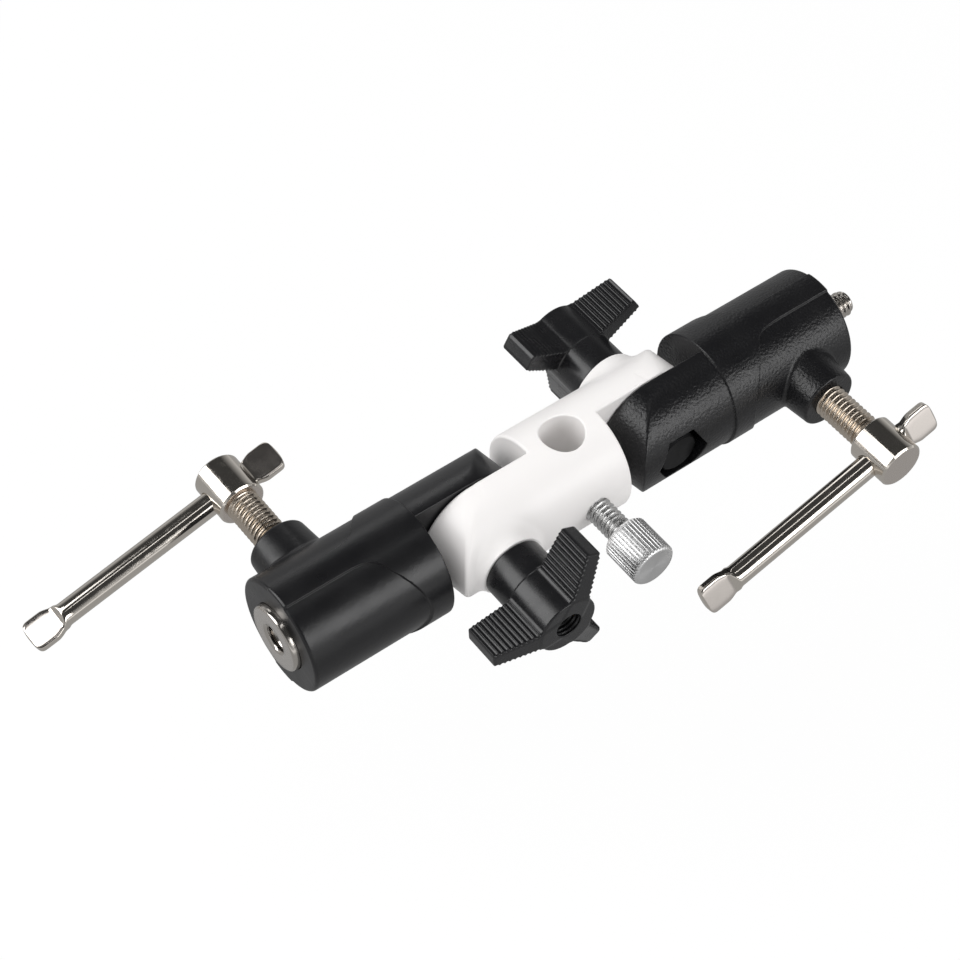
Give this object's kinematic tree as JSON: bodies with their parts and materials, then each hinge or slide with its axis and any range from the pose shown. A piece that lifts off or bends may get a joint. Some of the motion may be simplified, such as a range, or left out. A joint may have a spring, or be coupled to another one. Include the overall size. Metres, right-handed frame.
{
  "type": "umbrella swivel bracket",
  "caption": "Double-ended lighting bracket: pale centre block with an umbrella hole and thumbscrew, and a swivelling black socket with spigot, T-bar screw and wing knob at each end.",
  "frame": {"origin": "where the umbrella hole's axis crosses the bracket's long axis", "axes": "+Z along the umbrella hole, +X along the bracket towards the end whose spigot has a stud, -Y towards the umbrella screw"},
  "size_m": [0.2009, 0.0898, 0.0357],
  "materials": {
    "block": "gloss",
    "black_paint": "satin black paint over die-cast aluminium",
    "nickel_spigot": "turned and nickel plated",
    "nickel": "polished nickel",
    "brass": "turned",
    "black_steel": "black oxide",
    "zinc_steel": "bright zinc plate",
    "fibre": "matt",
    "insert_brass": "machined",
    "knob_plastic": "satin moulded",
    "knurled_steel": "straight knurl",
    "nylon": "matt"
  },
  "bodies": {
    "block": {"center_block": "block", "friction_washer_left": "fibre", "friction_washer_right": "fibre"},
    "umbrella_pad": {"umbrella_screw_tip": "nylon"},
    "umbrella_thumbscrew": {"umbrella_screw": "knurled_steel"},
    "left_receiver": {"receiver_left": "black_paint", "pivot_bolt_left": "black_steel"},
    "left_washer": {"knob_washer_left": "zinc_steel"},
    "left_knob": {"knob_left": "knob_plastic", "knob_insert_left": "insert_brass"},
    "left_thrust_pad": {"thrust_pad_left": "brass"},
    "left_t_screw": {"t_screw_left": "nickel"},
    "left_t_bar": {"t_bar_left": "nickel"},
    "left_spigot": {"spigot_left": "nickel_spigot"},
    "right_receiver": {"receiver_right": "black_paint", "pivot_bolt_right": "black_steel"},
    "right_washer": {"knob_washer_right": "zinc_steel"},
    "right_knob": {"knob_right": "knob_plastic", "knob_insert_right": "insert_brass"},
    "right_thrust_pad": {"thrust_pad_right": "brass"},
    "right_t_screw": {"t_screw_right": "nickel"},
    "right_t_bar": {"t_bar_right": "nickel"},
    "right_spigot": {"spigot_right": "nickel_spigot"}
  },
  "joints": [
    {"name": "left_swivel", "type": "hinge", "parent": "block", "child": "left_receiver", "pos_m": [-0.0245, 0, 0], "axis": [0, 1, 0], "range_deg": [-90, 90]},
    {"name": "right_swivel", "type": "hinge", "parent": "block", "child": "right_receiver", "pos_m": [0.0245, 0, 0], "axis": [0, 1, 0], "range_deg": [-90, 90]},
    {"name": "umbrella_pad_travel", "type": "slide", "parent": "block", "child": "umbrella_pad", "axis": [0, 1, 0], "range_m": [-0.0013, 0.0083]},
    {"name": "umbrella_screw_turn", "type": "hinge", "parent": "umbrella_pad", "child": "umbrella_thumbscrew", "pos_m": [0, -0.02, 0], "axis": [0, 1, 0], "range_deg": [-360, 2340]},
    {"name": "left_washer_lift", "type": "slide", "parent": "left_receiver", "child": "left_washer", "axis": [0, -1, 0], "range_m": [0, 0.001]},
    {"name": "left_knob_turn", "type": "hinge", "parent": "left_washer", "child": "left_knob", "pos_m": [-0.0245, -0.025, 0], "axis": [0, -1, 0], "range_deg": [0, 360]},
    {"name": "left_pad_travel", "type": "slide", "parent": "left_receiver", "child": "left_thrust_pad", "axis": [0, 1, 0], "range_m": [-0.00045, 0.0035]},
    {"name": "left_screw_turn", "type": "hinge", "parent": "left_thrust_pad", "child": "left_t_screw", "pos_m": [-0.062, 0.0396, 0], "axis": [0, 1, 0], "range_deg": [-100, 980]},
    {"name": "left_bar_slide", "type": "slide", "parent": "left_t_screw", "child": "left_t_bar", "axis": [0.9699, 0, 0.2436], "range_m": [0, 0.038]},
    {"name": "left_spigot_slide", "type": "slide", "parent": "left_receiver", "child": "left_spigot", "axis": [-1, 0, 0], "range_m": [0, 0.028]},
    {"name": "right_washer_lift", "type": "slide", "parent": "right_receiver", "child": "right_washer", "axis": [0, 1, 0], "range_m": [0, 0.001]},
    {"name": "right_knob_turn", "type": "hinge", "parent": "right_washer", "child": "right_knob", "pos_m": [0.0245, 0.025, 0], "axis": [0, 1, 0], "range_deg": [0, 360]},
    {"name": "right_pad_travel", "type": "slide", "parent": "right_receiver", "child": "right_thrust_pad", "axis": [0, -1, 0], "range_m": [0, 0.00385]},
    {"name": "right_screw_turn", "type": "hinge", "parent": "right_thrust_pad", "child": "right_t_screw", "pos_m": [0.062, -0.0392, 0], "axis": [0, -1, 0], "range_deg": [0, 1080]},
    {"name": "right_bar_slide", "type": "slide", "parent": "right_t_screw", "child": "right_t_bar", "axis": [0.9588, 0, 0.284], "range_m": [0, 0.038]},
    {"name": "right_spigot_slide", "type": "slide", "parent": "right_receiver", "child": "right_spigot", "axis": [1, 0, 0], "range_m": [0, 0.028]}
  ],
  "couplings": [
    {"joint": "umbrella_pad_travel", "follows": "umbrella_screw_turn", "m_per_rad": 0.00020213},
    {"joint": "left_washer_lift", "follows": "left_knob_turn", "m_per_rad": 0.00015915},
    {"joint": "left_pad_travel", "follows": "left_screw_turn", "m_per_rad": 0.00019894},
    {"joint": "right_washer_lift", "follows": "right_knob_turn", "m_per_rad": 0.00015915},
    {"joint": "right_pad_travel", "follows": "right_screw_turn", "m_per_rad": 0.00019894}
  ]
}
